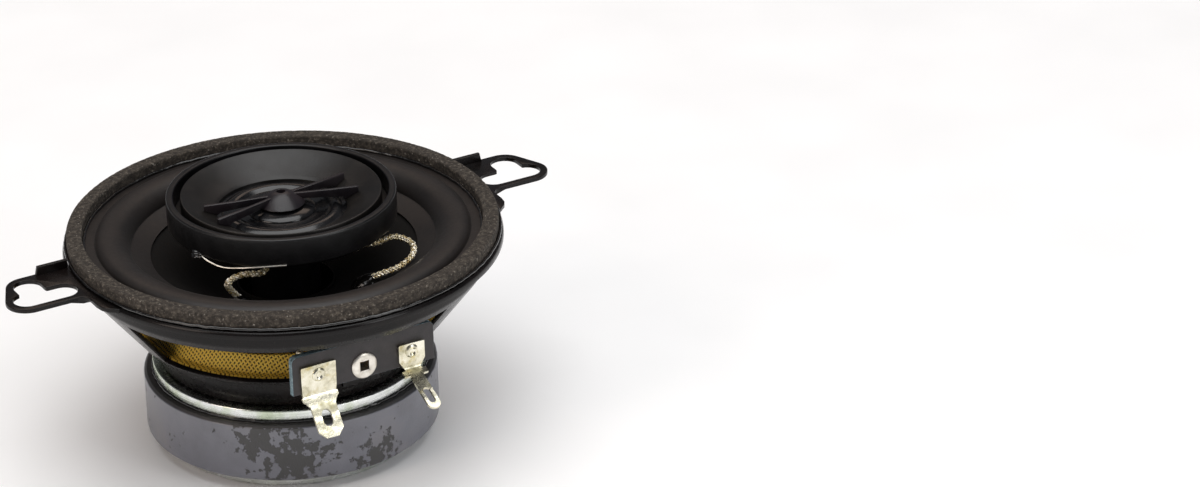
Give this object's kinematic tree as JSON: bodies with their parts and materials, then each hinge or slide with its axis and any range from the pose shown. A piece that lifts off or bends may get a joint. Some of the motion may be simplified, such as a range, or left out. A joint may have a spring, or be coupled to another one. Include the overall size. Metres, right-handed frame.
{
  "type": "coaxial car speaker",
  "caption": "Coaxial loudspeaker driver for a car door or dash: pressed basket with slotted mounting tabs, ferrite motor, paper cone, rubber surround and a dome tweeter on a centre post.",
  "frame": {"origin": "middle of the back plate's flat rear face, on the speaker's axis", "axes": "+Z from the back plate towards the listener; the mounting tabs lie along X; the terminals face -Y"},
  "size_m": [0.1208, 0.0918, 0.0534],
  "materials": {
    "zinc_plated_steel": "bright zinc plate with a faint yellow-green passivation",
    "ferrite": "sintered strontium ferrite, matt blue-grey, ground top and bottom",
    "black_paint": "satin black electrophoretic paint on pressed steel",
    "rivet_steel": "zinc-plated rivet",
    "gasket_felt": "grey-brown pressed felt foam, matt and dusty",
    "surround_rubber": "satin moulded rubber",
    "cone_paper": "black pulp cone, matt",
    "spider_cloth": "open-weave cotton set in mustard-yellow resin",
    "former_kapton": "amber film former",
    "coil_copper": "enamelled copper wire",
    "black_glue": "set black adhesive",
    "black_abs": "satin black moulded ABS",
    "diaphragm_film": "glossy black thermoformed film",
    "plated_magnet": "nickel-plated neodymium",
    "capacitor_sleeve": "shrink sleeve on an aluminium can",
    "fibre_board": "pressed phenolic fibre board",
    "tinned_brass": "bright tin plate on brass",
    "tinsel": "braided tinned-copper tinsel, unsleeved"
  },
  "bodies": {
    "chassis": {"t_yoke": "zinc_plated_steel", "ferrite_magnet": "ferrite", "top_plate": "zinc_plated_steel", "basket": "black_paint", "mounting_gasket": "gasket_felt", "surround": "surround_rubber", "spider": "spider_cloth", "tweeter_post": "black_abs", "post_screw": "rivet_steel", "tweeter_housing": "black_abs", "tweeter_horn": "black_abs", "tweeter_phase_plug": "black_abs", "tweeter_suspension": "diaphragm_film", "tweeter_yoke": "zinc_plated_steel", "tweeter_magnet": "plated_magnet", "tweeter_pole_plate": "zinc_plated_steel", "tweeter_frame": "black_abs", "crossover_capacitor": "capacitor_sleeve", "terminal_board": "fibre_board", "terminal_eyelet": "tinned_brass", "wide_lug": "tinned_brass", "narrow_lug": "tinned_brass", "wide_lug_rivet": "tinned_brass", "narrow_lug_rivet": "tinned_brass", "front_lead_right": "tinsel", "front_lead_left": "tinsel", "rear_lead_right": "tinsel", "rear_lead_left": "tinsel", "basket_rivet_1": "rivet_steel", "basket_rivet_2": "rivet_steel", "basket_rivet_3": "rivet_steel", "basket_rivet_4": "rivet_steel"},
    "cone_assembly": {"cone": "cone_paper", "voice_coil_former": "former_kapton", "voice_coil_winding": "coil_copper", "cone_glue_dab_right": "black_glue", "cone_glue_dab_left": "black_glue"},
    "tweeter_diaphragm": {"tweeter_dome": "diaphragm_film", "tweeter_coil": "coil_copper"}
  },
  "joints": [
    {"name": "cone_travel", "type": "slide", "parent": "chassis", "child": "cone_assembly", "axis": [0, 0, 1], "range_m": [-0.0025, 0.0025], "stiffness_N_per_m": 1800, "deforming": ["surround", "spider", "front_lead_right", "front_lead_left", "rear_lead_right", "rear_lead_left"]},
    {"name": "tweeter_travel", "type": "slide", "parent": "chassis", "child": "tweeter_diaphragm", "axis": [0, 0, 1], "range_m": [-0.00025, 0.00025], "stiffness_N_per_m": 1500, "deforming": ["tweeter_suspension"]}
  ]
}
